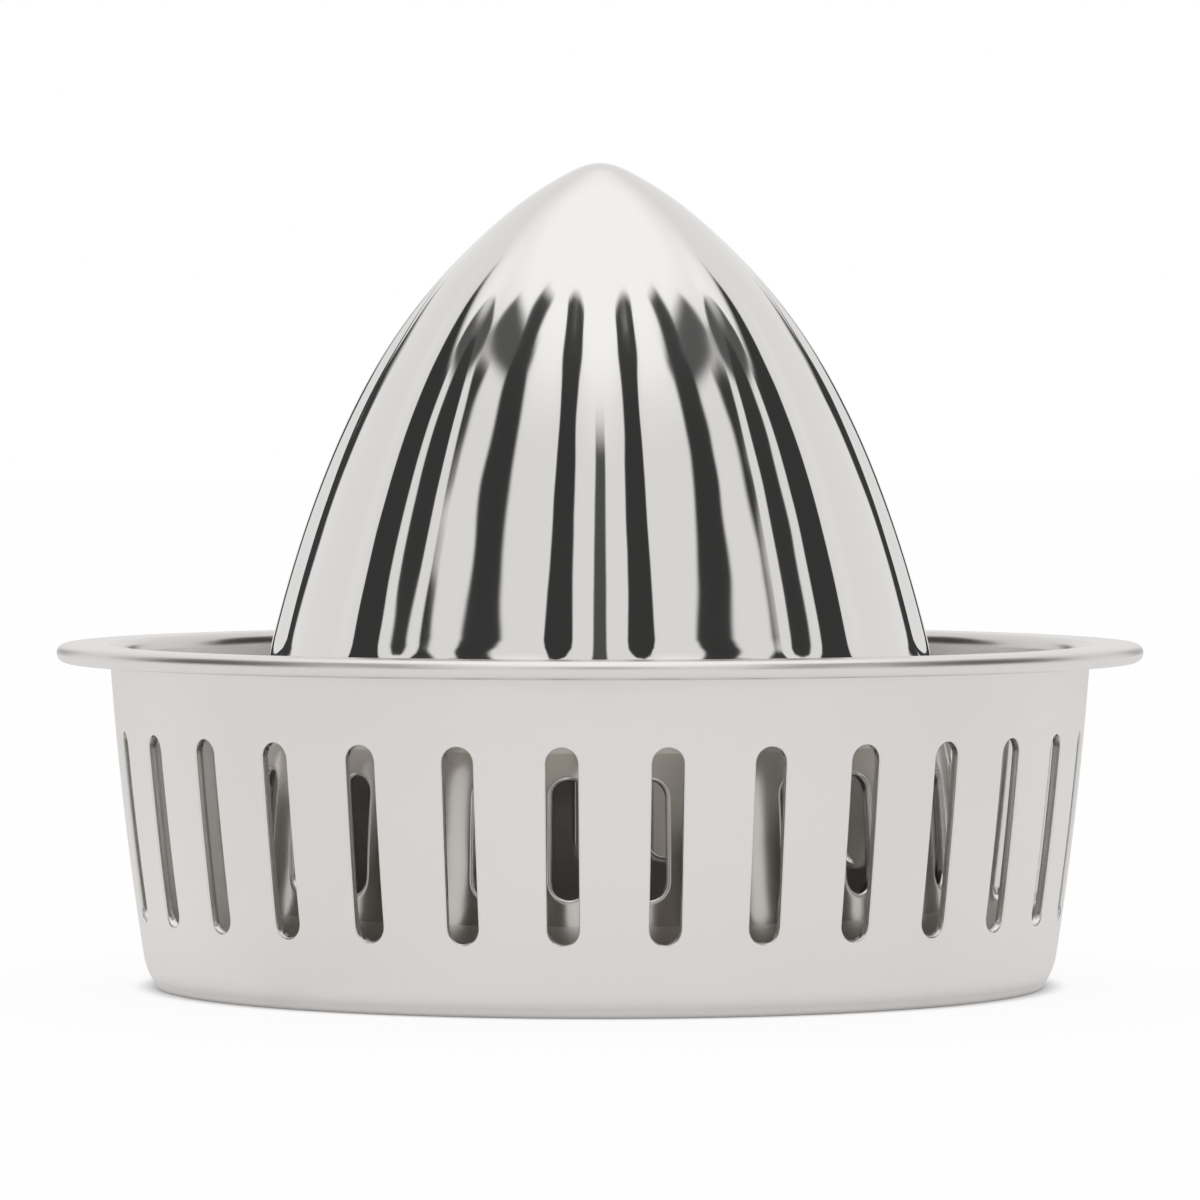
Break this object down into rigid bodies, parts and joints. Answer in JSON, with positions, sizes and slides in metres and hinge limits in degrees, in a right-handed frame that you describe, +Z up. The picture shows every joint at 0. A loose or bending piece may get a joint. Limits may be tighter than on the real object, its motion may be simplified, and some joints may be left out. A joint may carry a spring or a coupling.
{
  "type": "jar citrus juicer lid",
  "caption": "Pressed steel lid for a wide-mouth jar: a domed ribbed reamer cone stands in a slotted strainer basket that hangs in the mouth by a hemmed flange.",
  "frame": {"origin": "centre of the basket's underside, where the lid stands on a table", "axes": "+Z up along the cone's axis, -Y towards the front rib that faces the camera"},
  "size_m": [0.084, 0.084, 0.0636],
  "materials": {
    "steel": "satin basket wall and flange, mirror-polished cone"
  },
  "bodies": {
    "root": {"juicer_lid": "steel"}
  },
  "joints": []
}
